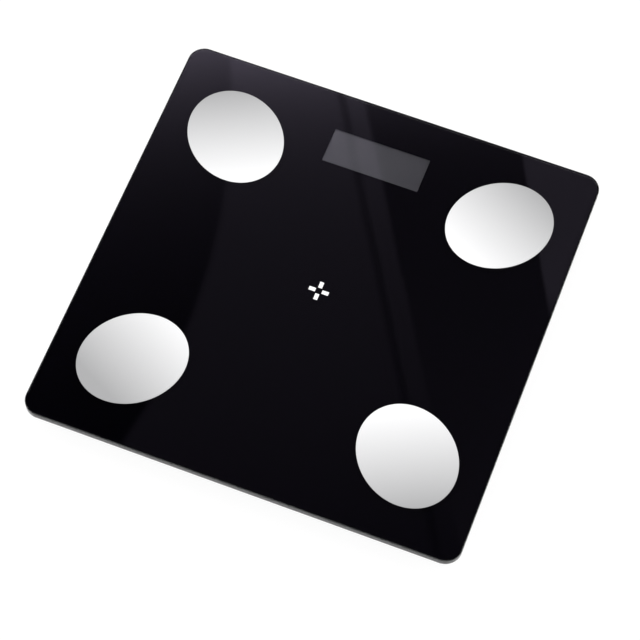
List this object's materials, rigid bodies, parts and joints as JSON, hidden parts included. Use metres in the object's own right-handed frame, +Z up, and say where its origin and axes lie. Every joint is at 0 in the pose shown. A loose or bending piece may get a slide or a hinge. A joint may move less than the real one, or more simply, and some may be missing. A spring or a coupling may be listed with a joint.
{
  "type": "bathroom scale",
  "caption": "Square glass-topped electronic bathroom scale with oval foot electrodes, a small display window, load cell feet and a battery door underneath.",
  "frame": {"origin": "on the floor under the middle of the glass", "axes": "+Z up, +Y towards the display (toe side), +X to the user's right"},
  "size_m": [0.26, 0.26, 0.0233],
  "materials": {
    "clear_glass": "polished, clear, faint green edge",
    "black_print": "black ceramic print",
    "tape": "black acrylic foam",
    "silver_print": "silver print",
    "tray_plastic": "fine spark texture, black ABS",
    "button_plastic": "satin grey",
    "electrode_steel": "satin stainless steel",
    "zinc_steel": "zinc plated",
    "cell_steel": "blanked alloy steel, nickel plated",
    "sealant": "white silicone",
    "foot_plastic": "black ABS",
    "foot_rubber": "dark grey rubber",
    "battery_jacket": "plain printed jacket",
    "nickel": "nickel plated spring steel",
    "white_lead": "white PVC",
    "red_lead": "red PVC",
    "cell_lead": "PVC, grey",
    "green_board": "solder mask",
    "chip_plastic": "moulded epoxy",
    "shield_can": "tinned steel",
    "capacitor_can": "sleeved aluminium",
    "socket_plastic": "nylon",
    "frame_plastic": "white ABS",
    "display_glass": "dark LCD glass, off",
    "light_guide": "acrylic",
    "elastomer": "conductive elastomer"
  },
  "bodies": {
    "platform": {"adhesive_tape": "tape", "amplifier_chip": "chip_plastic", "back_print": "black_print", "backlight": "light_guide", "base_tray": "tray_plastic", "battery_1": "battery_jacket", "battery_2": "battery_jacket", "battery_3": "battery_jacket", "battery_leads": "red_lead", "board_screws": "zinc_steel", "board_sockets": "socket_plastic", "capacitor": "capacitor_can", "cell_lead_heel_left": "cell_lead", "cell_lead_heel_right": "cell_lead", "cell_lead_toe_left": "cell_lead", "cell_lead_toe_right": "cell_lead", "cell_retainer_heel_left": "foot_plastic", "cell_retainer_heel_right": "foot_plastic", "cell_retainer_toe_left": "foot_plastic", "cell_retainer_toe_right": "foot_plastic", "centre_mark": "silver_print", "connector_strips": "elastomer", "contact_link_left": "nickel", "contact_link_right": "nickel", "contact_negative": "nickel", "contact_positive": "nickel", "controller_chip": "chip_plastic", "display_frame": "frame_plastic", "display_gasket": "tape", "display_panel": "display_glass", "electrode_heel_left": "electrode_steel", "electrode_heel_right": "electrode_steel", "electrode_leads": "white_lead", "electrode_nuts": "zinc_steel", "electrode_toe_left": "electrode_steel", "electrode_toe_right": "electrode_steel", "glass_platform": "clear_glass", "load_cell_heel_left": "cell_steel", "load_cell_heel_right": "cell_steel", "load_cell_toe_left": "cell_steel", "load_cell_toe_right": "cell_steel", "main_board": "green_board", "push_switch": "chip_plastic", "strain_gauges": "sealant", "wireless_module": "shield_can"},
    "foot_toe_left": {"foot_cup_toe_left": "foot_plastic", "foot_pad_toe_left": "foot_rubber"},
    "foot_toe_right": {"foot_cup_toe_right": "foot_plastic", "foot_pad_toe_right": "foot_rubber"},
    "foot_heel_left": {"foot_cup_heel_left": "foot_plastic", "foot_pad_heel_left": "foot_rubber"},
    "foot_heel_right": {"foot_cup_heel_right": "foot_plastic", "foot_pad_heel_right": "foot_rubber"},
    "battery_door": {"battery_door": "tray_plastic"},
    "unit_button": {"unit_button": "button_plastic", "switch_plunger": "frame_plastic"}
  },
  "joints": [
    {"name": "foot_toe_left_slide", "type": "slide", "parent": "platform", "child": "foot_toe_left", "axis": [0, 0, -1], "range_m": [0, 0.0008]},
    {"name": "foot_toe_right_slide", "type": "slide", "parent": "platform", "child": "foot_toe_right", "axis": [0, 0, -1], "range_m": [0, 0.0008]},
    {"name": "foot_heel_left_slide", "type": "slide", "parent": "platform", "child": "foot_heel_left", "axis": [0, 0, -1], "range_m": [0, 0.0008]},
    {"name": "foot_heel_right_slide", "type": "slide", "parent": "platform", "child": "foot_heel_right", "axis": [0, 0, -1], "range_m": [0, 0.0008]},
    {"name": "battery_door_hinge", "type": "hinge", "parent": "platform", "child": "battery_door", "pos_m": [0, 0.003, 0.0047], "axis": [-1, 0, 0], "range_deg": [0, 75]},
    {"name": "unit_button_press", "type": "slide", "parent": "platform", "child": "unit_button", "axis": [0, 0, 1], "range_m": [0, 0.0005], "stiffness_N_per_m": 1500, "springref_m": -0.0008}
  ]
}
